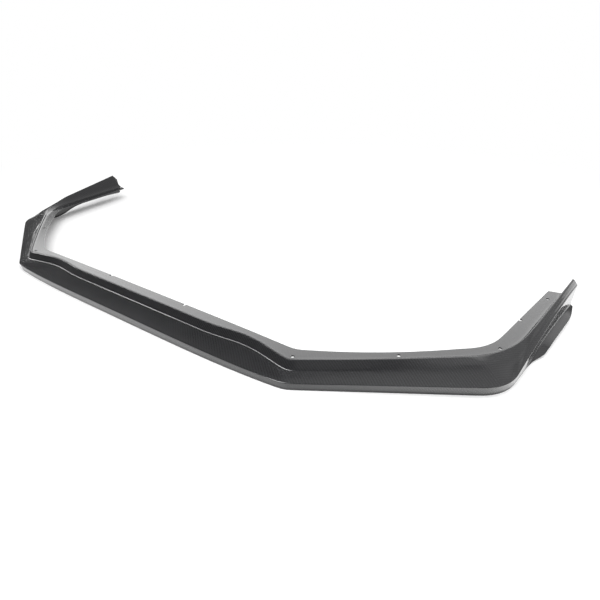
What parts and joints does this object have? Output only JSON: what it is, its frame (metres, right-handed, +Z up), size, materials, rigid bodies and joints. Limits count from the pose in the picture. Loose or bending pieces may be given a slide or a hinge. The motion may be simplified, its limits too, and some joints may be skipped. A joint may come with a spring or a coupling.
{
  "type": "front air dam",
  "caption": "Moulded front air dam for a car: one thin curved shell with a screw flange, raised ridge, broad lip and side feet.",
  "frame": {"origin": "middle of the bounding box in plan, on the floor that the lower edge rests on", "axes": "+X to the side, across the width, -Y to the front of the car, +Z up"},
  "size_m": [1.774, 0.6418, 0.0935],
  "materials": {
    "carbon": "clear-coated twill-weave carbon laminate"
  },
  "bodies": {
    "root": {"air_dam": "carbon"}
  },
  "joints": []
}
